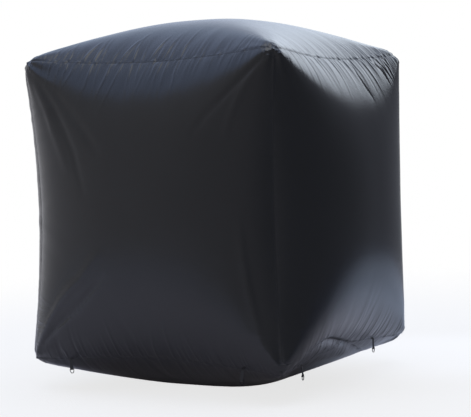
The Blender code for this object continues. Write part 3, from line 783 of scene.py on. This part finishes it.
def mouldedPolyethylene():
    # injection-moulded black polyethylene: waxy, semi-matt, from a spark-eroded mould (grain 0.5 mm, drawn at
    # 0.8 mm)
    look = {"colours": ("#18191b", "#2b2c2f"), "patch": 9 * mm, "detail": 4.0, "rough": (0.3, 0.48),
            "bumps": (0.8 * mm, 3.0, 0.05 * mm)}
    return mottled("mouldedPolyethylene", look, IOR=1.51)


def nylonMonofilament():
    # drawn nylon wire, heat-set into a coil: smooth and a little shiny, slightly mottled
    look = {"colours": ("#141517", "#2f3034"), "patch": 12 * mm, "detail": 3.0}
    return mottled("nylonMonofilament", look, Roughness=0.34, IOR=1.53)


def lacqueredZincAlloy():
    # die-cast zinc under black lacquer: smooth and glossy, duller where it is handled
    look = {"colours": ("#101113", "#2c2d30"), "patch": 4 * mm, "detail": 4.0, "rough": (0.28, 0.5),
            "bumps": (4 * mm, 4.0, 0.06 * mm)}
    return mottled("blackLacqueredZinc", look, IOR=1.5)


def makePanels(material):
    for face, (fine, deep) in panelNets.items():
        spots, cells = panelNet(fine, netRows, deep)
        s, t = spots.T
        u, v = sideways(face)
        facing, sign = faces[face]
        if sign * (-1 if facing == 1 else 1) < 0:
            cells = [part[:, ::-1] for part in cells]
        far = np.minimum((1 - np.abs(s)) * half[u], (1 - np.abs(t)) * half[v])
        rubbed = cloth["rubbed"] * np.exp(-far / cloth["rubbedReach"])
        piece = newPiece(face + "_cloth", clothPoint(face, s, t), cells, material, "envelope", "coated_cloth",
                         uv=spots * (half[u], half[v]), marks={"rubbed": rubbed})
        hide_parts(face + "_panel")
        print("panel", face, sum(len(part) * (part.shape[1] - 2) for part in cells), "triangles")


# Seams: the two panels' edges folded over and top-stitched, 10 mm across, with the join as a groove between
seamForm = {
    "end": 0.9294, "step": 5 * mm, "joinLift": 0.2 * mm,
    "profile": ((5.0, -0.5), (4.8, 0.3), (4.1, 0.6), (1.9, 0.8), (0.45, 0.4)),      # from the join, lift
    "stitchPitch": 6.5 * mm, "stitchLength": 4.6 * mm, "stitchWidth": 0.9 * mm, "stitchFrom": 3.3 * mm,
    "stitchLift": 0.75 * mm, "upright": 0.35,       # the upright seams lie flatter
}


def besideSeam(face, other, place, far, lift):
    # the cloth of one panel at a distance from its seam with another; place is the share along the seam
    axis, side = faces[other]
    share = side * (1 - far / half[axis])
    s, t = (place, share) if axis == sideways(face)[1] else (share, place)
    return clothPoint(face, s, t, lift)


def stitches(centres, along, outwards, length, width):
    # each stitch is a long double pyramid: two tips along the seam, three points about its middle
    side = np.cross(along, outwards)
    tips = [centres + along * length / 2, centres - along * length / 2]
    belt = [centres + outwards * width * 0.6, centres - outwards * width * 0.3 + side * width / 2,
            centres - outwards * width * 0.3 - side * width / 2]
    points = np.stack(tips + belt, 1).reshape(-1, 3)
    shape = np.array([(0, 2, 3), (0, 3, 4), (0, 4, 2), (1, 3, 2), (1, 4, 3), (1, 2, 4)])
    return points, (np.arange(len(centres))[:, None, None] * 5 + shape).reshape(-1, 3)


def rowOfStitches(where, count, form, start=-1.0, end=1.0):
    # stitches along a line that where(share, lift) gives
    share = start + (end - start) * (np.arange(count) + 0.5) / count
    centre = where(share, form["stitchLift"])
    along = unit(where(share + 1e-3, form["stitchLift"]) - where(share - 1e-3, form["stitchLift"]))
    outwards = unit(centre - where(share, 0.0))
    outwards = unit(outwards - along * (outwards * along).sum(-1, keepdims=True))
    return stitches(centre, along, outwards, form["stitchLength"], form["stitchWidth"])


def makeSeams(material, thread):
    end = seamForm["end"]
    profile = np.array(seamForm["profile"]) * mm
    across = np.concatenate([-profile[:, 0], [0], profile[::-1, 0]])
    step = seamForm["step"] * 1
    sewn = []
    for one, other in itertools.combinations(faces, 2):
        if faces[one][0] == faces[other][0]:
            continue
        sides = ((one, other), (other, one))
        axis = ({0, 1, 2} - {faces[one][0], faces[other][0]}).pop()
        place = np.linspace(-end, end, int(2 * end * half[axis] / step))[:, None]
        flat = seamForm["upright"] if axis == 2 else 1.0
        rims = [besideSeam(*side, place, profile[:, 0], profile[:, 1] * flat) for side in sides]
        join = sum(besideSeam(*side, place, 0.0, seamForm["joinLift"] * flat) for side in sides) / 2
        points = np.concatenate([rims[0], join, rims[1][:, ::-1]], 1)
        cells = gridFaces(*points.shape[:2])
        a, b, c = points.reshape(-1, 3)[cells[len(cells) // 2]][:3]
        if np.dot(np.cross(b - a, c - a), points[len(points) // 2, len(profile)] - middle) < 0:
            cells = cells[:, ::-1]
        piece = newPiece(f"{one}_{other}_seamfold", points, cells, material, "envelope", "seam_binding",
                         uv=stacked(place * half[axis], across))
        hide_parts(f"{one}_{other}_seam")
        for side in sides:
            def where(share, lift):
                return besideSeam(*side, share, seamForm["stitchFrom"], lift * flat)
            count = int(2 * end * half[axis] / seamForm["stitchPitch"])
            sewn.append(rowOfStitches(where, count, seamForm, -end, end))
    if sewn:
        newPiece("seam_stitches", *joined(sewn), thread, "envelope", "seam_binding")
    print("seams and", sum(len(points) for points, cells in sewn) // 5, "stitches")


# Corner patches: a second layer of cloth over each corner
cornerForm = {
    "start": 0.93, "lines": 22, "crowd": 1.1, "lift": 2.2 * mm,
    "rimSteps": (0.1 * mm, 0, -0.5 * mm),           # the turned-in rim: how far out, and shares of the lift
    "rimLifts": (-0.8 / 2.2, 0.6, 0.9),
}


def makeCorners(material):
    start, lines, lift = cornerForm["start"], cornerForm["lines"], cornerForm["lift"]
    lifts = np.concatenate([cornerForm["rimLifts"], np.ones(lines - 3)]) * lift
    far = (1 - start) * half[:, None] * np.linspace(1, 0, lines - 2) ** cornerForm["crowd"]
    far = np.concatenate([far[:, :1] + cornerForm["rimSteps"], far[:, 1:]], 1)
    for touching in itertools.product(("top", "base"), ("front", "back"), ("left", "right")):
        side = dict(faces[face] for face in touching)
        grids, spots = [], []
        for face in touching:
            u, v = sideways(face)
            s = side[u] * (1 - far[u] / half[u])[:, None]
            t = side[v] * (1 - far[v] / half[v])
            grids.append(clothPoint(face, s, t, np.minimum(lifts[:, None], lifts), outwards=True))
            spots.append(stacked(s * half[u], t * half[v]).reshape(-1, 2))
        piece = newPiece("_".join(touching) + "_patch", *joinedGrids(grids, closedColumns=False), material,
                         "envelope", "webbing", uv=np.concatenate(spots), weld=True)
        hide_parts("_".join(touching) + "_corner")
    print("corner patches")


def inFrame(origin, axes, local):
    # local x, y, z go along the three rows of axes
    return origin + np.asarray(local) @ axes


def circle(count):
    # angles evenly all the way round
    return np.linspace(0, 2 * np.pi, count, endpoint=False)


def powered(values, power):
    # |value| ^ power with the value's own sign
    return np.copysign(np.abs(values) ** power, values)


def smoothRoute(knots, steps):
    # a Catmull-Rom curve: between two knots the cubic whose slopes are half the step between their neighbours
    around = np.concatenate([2 * knots[:1] - knots[1:2], knots, 2 * knots[-1:] - knots[-2:-1]])
    u = (np.arange(steps) / steps)[None, :, None]
    a, b, c, d = [around[k:k + len(knots) - 1, None] for k in range(4)]
    curve = 0.5 * (2 * b + (c - a) * u + (2 * a - 5 * b + 4 * c - d) * u ** 2
                   + (3 * b - a - 3 * c + d) * u ** 3)
    return np.concatenate([curve.reshape(-1, knots.shape[1]), knots[-1:]])


def carried(route, side, profile):
    # a profile carried along a flat route whose plane is square to side: profile x goes along side, y
    # outwards. Both ends are closed to a point
    ahead = np.roll(route, -1, 0) - np.roll(route, 1, 0)
    ahead[0] = route[1] - route[0]
    ahead[-1] = route[-1] - route[-2]
    out = unit(np.cross(unit(ahead), side))
    ring = route[:, None] + profile[:, :1] * side + profile[:, 1:] * out[:, None]
    return np.concatenate([np.repeat(route[:1, None], len(profile), 1), ring,
                           np.repeat(route[-1:, None], len(profile), 1)])


def tubeAlong(line, one, two, radius, sides):
    # line + radius (cos(turn) one + sin(turn) two), where one and two are square to the line
    turn = circle(sides)[None, :, None]
    return line[:, None] + radius * (np.cos(turn) * one[:, None] + np.sin(turn) * two[:, None])


def turnedForm(outline, sides, ripple=None):
    # an outline of (radius, height) in mm turned about z; ripple(angle, height) is added to the radius
    turn = circle(sides)
    radius, height = np.array(outline).T[..., None] * mm
    if ripple:
        radius = radius + ripple(turn, height) * (radius > 0)
    return stacked(radius * np.cos(turn), radius * np.sin(turn), height)


def roundedBlock(size, place, power, lines=28):
    # a superellipsoid |x/a|^n + |y/b|^n + |z/c|^n = 1: a block with soft edges, its size and place in mm. Its
    # angles crowd at the edges
    up = np.linspace(-np.pi / 2, np.pi / 2, lines)[:, None]
    turn = circle(2 * lines)
    level = powered(np.cos(up), 2 / power)
    block = stacked(level * powered(np.cos(turn), 2 / power), level * powered(np.sin(turn), 2 / power),
                    powered(np.sin(up), 2 / power))
    return (block * np.array(size) / 2 + np.array(place)) * mm


# Tie loops and D-rings: webbing folded round a ring's bar, both ends sewn into the foot seam
tieLoops = {
    "seatLift": 2.2 * mm, "width": 24 * mm, "layer": 1.5 * mm, "squareness": (0.3, 0.7),
    # out, up, in mm
    "route": ((-1.0, 0.2), (1.6, -2.6), (3.6, -10), (4.5, -30), (5.0, -52), (4.7, -61), (2.0, -68.0),
              (0.4, -72), (2.0, -76.0), (6, -77.6), (10.0, -76.0), (11.6, -72), (10.0, -68.0), (7.2, -61),
              (6.6, -52), (6.1, -30), (5.2, -10), (3.0, -1.8), (-0.2, 1.0)),
    "tackRows": ((2.7573, -0.3535), (4.1713, -1.7675)),         # stitches at the seam: out, up, in mm
    "tackCount": 11, "tackPitch": 2.0 * mm, "tackSlant": (0.5, 0.6, -0.6),         # the way each stitch lies
    "stitchLength": 2.6 * mm, "stitchWidth": 0.8 * mm,
}
dRings = {
    "wire": 2.5 * mm, "halfWidth": 16 * mm, "depth": 26 * mm, "bend": 3 * mm,
    "bar": (0, 6 * mm, -73.7399 * mm),      # the bar's middle, from where the loop leaves the seam
    "weld": 0.2 * mm, "weldReach": 2 * mm, "sides": 16,
}
outerCell, innerCell = (0.58, 0.78), (0.4, 0.58)
anchorWalls = {
    "front": (("left", outerCell), ("right", outerCell)),
    "right": (("front", outerCell), ("back", innerCell)),
    "back": (("left", outerCell), ("right", outerCell)),
    "left": (("front", outerCell), ("back", innerCell)),
}


def anchorFrames():
    # for each anchor its name, place and directions: along the seam, out of the wall, up
    for wall, neighbours in anchorWalls.items():
        facing, sign = faces[wall]
        for neighbour, cell in neighbours:
            side = faces[neighbour][1]
            first, last = [skinPoint(wall, side * share, -1.0, tieLoops["seatLift"]) for share in cell]
            outwards = np.eye(3)[facing] * sign
            along = unit(last - first)
            along *= np.sign(along @ np.cross(outwards, (0, 0, 1)))
            out = unit(outwards - along * (outwards @ along))
            yield f"{wall}_{neighbour}", (first + last) / 2, np.stack([along, out, np.cross(along, out)])


def ringRoute():
    # straight bar, two quarter bends, and a half ellipse below that starts where the bends end
    wide, deep, bend = dRings["halfWidth"], dRings["depth"], dRings["bend"]
    bar = np.linspace(-(wide - bend), wide - bend, 16)
    quarter = np.linspace(0, np.pi / 2, 7)[1:-1]
    start = math.asin(bend / deep)
    bow = np.linspace(start, np.pi - start, 46)
    right = stacked(wide - bend + bend * np.sin(quarter), bend * np.cos(quarter) - bend)
    sweep = stacked(wide * np.cos(bow) / math.cos(start), -deep * np.sin(bow))
    return np.concatenate([stacked(bar, 0), right, sweep, right[::-1] * (-1, 1)])


def makeAnchors(webbing, thread, steel):
    turn = circle(20)
    flat, steep = tieLoops["squareness"]
    strap = stacked(tieLoops["width"] / 2 * powered(np.cos(turn), flat),
                    tieLoops["layer"] / 2 * powered(np.sin(turn), steep))
    line = smoothRoute(np.array(tieLoops["route"]) * mm, 6)
    length = np.concatenate([[0], np.cumsum(np.linalg.norm(np.diff(line, axis=0), axis=1))])
    length = np.concatenate([[0], length, length[-1:]])[:, None]
    loopForm = carried(stacked(0, line[:, 0], line[:, 1]), np.array([1.0, 0, 0]), strap)
    tacks = (np.arange(tieLoops["tackCount"]) - (tieLoops["tackCount"] - 1) / 2) * tieLoops["tackPitch"]
    route = ringRoute()
    weld = dRings["weld"] * np.exp(-(route[:, 0] / dRings["weldReach"]) ** 2) * (route[:, 1] > -mm)
    route = stacked(route[:, 0], 0, route[:, 1])
    square = np.broadcast_to((0, 1.0, 0), route.shape)
    out = np.cross(unit(np.roll(route, -1, 0) - np.roll(route, 1, 0)), square)
    wire = tubeAlong(route, out, square, (dRings["wire"] + weld)[:, None, None], dRings["sides"])
    for name, origin, axes in anchorFrames():
        loop = newPiece("tie_webbing_" + name, inFrame(origin, axes, loopForm),
                        gridFaces(*loopForm.shape[:2], closedColumns=True), webbing, "envelope", "webbing",
                        uv=stacked(length, strap[:, 0]), weld=True)
        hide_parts("tie_loop_" + name)
        slanted = unit(np.array(tieLoops["tackSlant"]) @ axes)
        sewn = []
        for out, up in tieLoops["tackRows"]:
            row = inFrame(origin, axes, stacked(tacks, out * mm, up * mm))
            sewn.append(stitches(row, slanted, unit(axes[1] + axes[2]), tieLoops["stitchLength"],
                                 tieLoops["stitchWidth"]))
        newPiece("tie_bartack_" + name, *joined(sewn), thread, "envelope", "webbing")
        bar = inFrame(origin, axes, dRings["bar"])
        ring = newPiece("steel_d_ring_" + name, inFrame(bar, axes, wire),
                        gridFaces(*wire.shape[:2], closedRows=True, closedColumns=True), steel,
                        "d_ring_" + name, "ring_steel", weld=True)
        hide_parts("d_ring_" + name)
    print("tie loops and D-rings")


# Valve: a welded flange with a short neck, non-return spokes in its bore, and a hinged cap with a grip edge
valveForm = {
    "sides": 96, "gripSides": 216, "grips": 36, "gripDepth": 0.35 * mm, "gripHeight": 1.9 * mm,
    # outlines turned about the middle: radius, height in mm
    "body": ((0, 0.3), (33.6, 0.3), (34.6, 0.6), (35, 1.2), (35, 1.9), (34.5, 2.5), (33.6, 2.7), (31, 2.7),
             (30.5, 2.4), (29.5, 2.4), (29, 2.7), (26.2, 2.7), (25.8, 2.45), (25, 2.45), (24.6, 2.7),
             (18.4, 2.75), (17.5, 3.1), (17, 3.9), (17, 5.2), (16.75, 5.5), (16.75, 6.2), (17, 6.5),
             (17, 8.2), (16.75, 8.5), (16.75, 9.2), (17, 9.5), (17, 11.2), (16.75, 11.5), (16.75, 12.2),
             (17, 12.5), (17, 13.5), (16.4, 14.3), (12.8, 14.3), (12, 13.5), (12, 3.4), (11.6, 2.9),
             (0, 2.7)),
    "hub": ((0, 4.6), (2.6, 4.6), (3.1, 5.2), (3.1, 9.2), (2.5, 9.9), (0, 10.0)),
    "cap": ((0, -2.5), (17.8, -2.5), (18.6, -2.1), (19, -1.4), (19, 1.4), (18.6, 2.1), (17.8, 2.5),
            (15.2, 2.5), (14.6, 2.2), (14.0, 1.75), (4.5, 1.7), (4.0, 1.9), (3.4, 2.2), (0, 2.3)),
    # outlines turned about the hinge: radius, place along it in mm
    "pin": ((0, -8.9), (1.0, -8.8), (1.5, -8.5), (1.5, 8.5), (1.0, 8.8), (0, 8.9)),
    "sleeve": ((1.75, -5), (2.8, -4.9), (3.2, -4.6), (3.2, 4.6), (2.8, 4.9), (1.75, 5), (1.75, 5), (1.75, -5),
               (1.75, -5)),
    "hinge": (0, 26, 17.1),
    # blocks: size and place in mm, and how square they are. The cap's are placed from the hinge
    "lugs": (((3, 6, 19.8), (7.1, 26, 10.2), 7), ((1.6, 5, 9), (7.1, 21.8, 6.2), 4)),
    "spoke": ((23, 1.6, 3), (0, 0, 6.4), 6),
    "capArm": ((10, 9.4, 3), (0, -6.5, 0), 7), "capLip": ((16, 2.4, 2.2), (0, -43.9, -0.2), 4),
}


def makeValve(plastic):
    origin, axes = valveFrame()
    hinge = np.array(valveForm["hinge"]) * mm
    body = [turnedForm(valveForm["body"], valveForm["sides"])]
    for side in (-1, 1):
        body += [roundedBlock(size, (side * x, y, z), power) for size, (x, y, z), power in valveForm["lugs"]]
    pin, sleeve = [turnedForm(valveForm[key], 20)[..., [2, 0, 1]] for key in ("pin", "sleeve")]
    body.append(pin + hinge)
    spoke = roundedBlock(*valveForm["spoke"], lines=16)
    for way in (0, math.pi / 3, 2 * math.pi / 3):
        body.append(stacked(spoke[..., 0] * math.cos(way) - spoke[..., 1] * math.sin(way),
                            spoke[..., 0] * math.sin(way) + spoke[..., 1] * math.cos(way), spoke[..., 2]))
    body.append(turnedForm(valveForm["hub"], 32))
    points, cells = joinedGrids(body)
    piece = newPiece("moulded_valve", inFrame(origin, axes, points), cells, plastic, "envelope",
                     "valve_plastic", weld=True)
    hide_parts("valve_body")

    def grip(angle, height):
        deep = valveForm["gripDepth"] * (0.5 + 0.5 * np.cos(valveForm["grips"] * angle))
        return -deep * (np.abs(height) < valveForm["gripHeight"])
    disc = turnedForm(valveForm["cap"], valveForm["gripSides"], grip) - (0, hinge[1], 0)
    points, cells = joinedGrids([disc, roundedBlock(*valveForm["capArm"]), sleeve,
                                 roundedBlock(*valveForm["capLip"])])
    piece = newPiece("moulded_valve_cap", inFrame(origin, axes, points + hinge), cells, plastic, "valve_cap",
                     "valve_plastic", weld=True)
    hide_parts("valve_cap")
    print("valve and cap")


# Zip: where the inner bladder goes in. Woven tape, a nylon coil, a slider and its puller
zipForm = {
    "ends": (-0.58, 0.58), "tape": (-0.705, -0.655), "lines": 260,
    # share of the tape's width, lift in mm
    "profile": ((0, -0.3), (0, 0.8), (0.012, 1.3), (0.03, 1.5), (0.2, 1.55), (0.4, 1.55), (0.455, 1.3),
                (0.49, 1.2), (0.51, 1.2), (0.545, 1.3), (0.6, 1.55), (0.8, 1.55), (0.97, 1.5), (0.988, 1.3),
                (1, 0.8), (1, -0.3)),
    "stitchPitch": 6 * mm, "stitchLength": 4.2 * mm, "stitchWidth": 0.8 * mm, "stitchLift": 1.7 * mm,
    "stitchInset": 0.006, "stitchEnd": 0.004,
    "coil": (-0.58, 0.56), "height": -0.68, "coilLift": 3.35 * mm,
    "coilPitch": 3.4 * mm, "coilHalfWidth": 3.6 * mm, "coilHalfHeight": 1.15 * mm, "coilWire": 0.55 * mm,
    "coilSteps": 9, "coilSides": 5,         # steps of one turn, sides of the wire
}
sliderForm = {
    "share": 0.4, "lift": 5.4 * mm,
    # blocks: size and place in mm, and how square they are
    "plates": (((16, 11, 1.5), (0, 0, 1.05), 5), ((16, 11, 1.6), (0, 0, 4.5), 5)),
    "wedge": ((5, 3.4, 4), (4.4, 0, 2.5), 4),
    "taper": 0.28, "waist": 0.08, "waistReach": 2 * mm,         # shares of the plates' width that are missing
    "bridge": ((-5.6, 4.2), (-5.2, 6.3), (-3.2, 7.5), (0, 7.8), (3.2, 7.5), (5.2, 6.3), (5.6, 4.2)),
    "band": (1.5 * mm, 0.55 * mm),          # half width and half thickness of the bridge
}
pullerForm = {
    "size": (8 * mm, 26 * mm, 2 * mm), "over": 4 * mm, "lift": 6.6 * mm, "square": 0.55, "sides": 72,
    "eye": (2.1 * mm, 3.2 * mm), "eyeFromEnd": 5.2 * mm,
    # share of the way from the rim to the eye, share of the thickness
    "layers": ((0, 0), (0.03, 0.5), (0.10, 0.5), (0.5, 0.38), (0.90, 0.5), (0.97, 0.5), (1, 0)),
}


def makeTape(tape, thread):
    (left, right), (low, high) = zipForm["ends"], zipForm["tape"]
    share, lift = np.array(zipForm["profile"]).T
    s = np.linspace(left, right, zipForm["lines"])[:, None]
    t = low + (high - low) * share
    points = clothPoint("back", s, t, lift * mm)
    piece = newPiece("woven_zip_tape", points, gridFaces(*points.shape[:2]), tape, "envelope", "zip_tape",
                     uv=stacked(s * half[0], t * half[2]))
    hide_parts("zip_tape")
    count = int((right - left) * half[0] / zipForm["stitchPitch"])
    inset, end = zipForm["stitchInset"], zipForm["stitchEnd"]
    sewn = [rowOfStitches(lambda share, lift: clothPoint("back", share, height, lift), count, zipForm,
                          left + end, right - end) for height in (low + inset, high - inset)]
    newPiece("zip_tape_stitches", *joined(sewn), thread, "envelope", "zip_tape")


def makeCoil(nylon):
    # an oval helix along the tape's middle, its wire a round profile
    (start, end), height, lift = zipForm["coil"], zipForm["height"], zipForm["coilLift"]
    near = 0.004                        # step along the tape for its direction
    turns = int((end - start) * half[0] / zipForm["coilPitch"])
    around = np.linspace(0, 2 * np.pi * turns, turns * zipForm["coilSteps"] + 1)
    share = start + (end - start) * around / around[-1]
    seat = clothPoint("back", share, height, lift)
    along = unit(clothPoint("back", share + near, height, lift)
                 - clothPoint("back", share - near, height, lift))
    out = unit(seat - clothPoint("back", share, height))
    helix = (seat + np.cross(out, along) * (zipForm["coilHalfWidth"] * np.cos(around))[:, None]
             + out * (zipForm["coilHalfHeight"] * np.sin(around))[:, None])
    ahead = unit(np.gradient(helix, axis=0))
    one = unit(np.cross(ahead, along))
    wire = tubeAlong(helix, one, np.cross(ahead, one), zipForm["coilWire"], zipForm["coilSides"])
    piece = newPiece("nylon_zip_coil", wire, gridFaces(*wire.shape[:2], closedColumns=True), nylon,
                     "envelope", "zip_nylon", weld=True)
    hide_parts("zip_teeth")


def makeSlider(metal):
    # two plates with a waist, joined by a wedge, and a bridge over the puller's eye
    s, t, near = sliderForm["share"], zipForm["height"], 0.01
    origin = skinPoint("back", s, t, sliderForm["lift"])
    along = skinPoint("back", s + near, t) - skinPoint("back", s - near, t)
    upwards = skinPoint("back", s, t + near) - skinPoint("back", s, t - near)
    normal = unit(np.cross(upwards, along))
    normal *= np.sign(normal[1])
    axes = np.stack([unit(along), np.cross(normal, unit(along)), normal])
    parts = []
    for size, place, square in sliderForm["plates"]:
        plate = roundedBlock(size, place, square, 36)
        x = plate[..., 0]
        plate[..., 1] *= (1 - sliderForm["taper"] * smooth(0.1, 1.0, x / (size[0] / 2 * mm))
                          - sliderForm["waist"] * np.exp(-(x / sliderForm["waistReach"]) ** 2))
        parts.append(plate)
    parts.append(roundedBlock(*sliderForm["wedge"], lines=20))
    bridge = smoothRoute(np.array(sliderForm["bridge"]) * mm, 5)
    wide, thick = sliderForm["band"]
    band = stacked(wide * np.cos(circle(14)), thick * np.sin(circle(14)))
    parts.append(carried(stacked(bridge[:, 0], 0, bridge[:, 1]), np.array([0, 1.0, 0]), band))
    points, cells = joinedGrids(parts)
    piece = newPiece("cast_zip_slider", inFrame(origin, axes, points), cells, metal, "envelope", "zip_metal",
                     weld=True)
    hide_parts("zip_slider")
    return origin, axes


def makePuller(metal, origin, axes):
    # a flat ring-ended tab, thinner in the middle, hanging down from the slider's bridge
    (wide, long, thick), square = pullerForm["size"], pullerForm["square"]
    down = -np.sign(axes[1][2])
    turn = circle(pullerForm["sides"])
    rim = stacked(powered(np.cos(turn), square) * wide / 2, powered(np.sin(turn), square) * long / 2)
    eye = stacked(np.cos(turn), np.sin(turn)) * pullerForm["eye"]
    eye -= (0, down * (long / 2 - pullerForm["eyeFromEnd"]))
    share, rise = np.array(pullerForm["layers"]).T[..., None]
    flat = rim * (1 - share[..., None]) + eye * share[..., None]
    upper = stacked(flat[..., 0], flat[..., 1], rise * thick)
    tab = np.concatenate([upper, upper[-2:0:-1] * (1, 1, -1)])
    tab += (0, down * (long / 2 - pullerForm["over"]), pullerForm["lift"])
    piece = newPiece("cast_zip_puller", inFrame(origin, axes, tab),
                     gridFaces(*tab.shape[:2], closedRows=True, closedColumns=True), metal, "envelope",
                     "zip_metal", weld=True)
    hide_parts("zip_puller")


makeCamera()
makeLight()
makeFloor()
print("camera, floor and light are in place")
scene.view_settings.view_transform = "Standard"
clothMaterial = coatedPolyester()
threadMaterial = spunPolyesterThread()
zincMaterial = lacqueredZincAlloy()
makePanels(clothMaterial)
makeSeams(clothMaterial, threadMaterial)
makeCorners(clothMaterial)
makeAnchors(wovenWebbing(), threadMaterial, blackZincSteel())
makeValve(mouldedPolyethylene())
makeTape(wovenZipTape(), threadMaterial)
makeCoil(nylonMonofilament())
makePuller(zincMaterial, *makeSlider(zincMaterial))
print("zip")
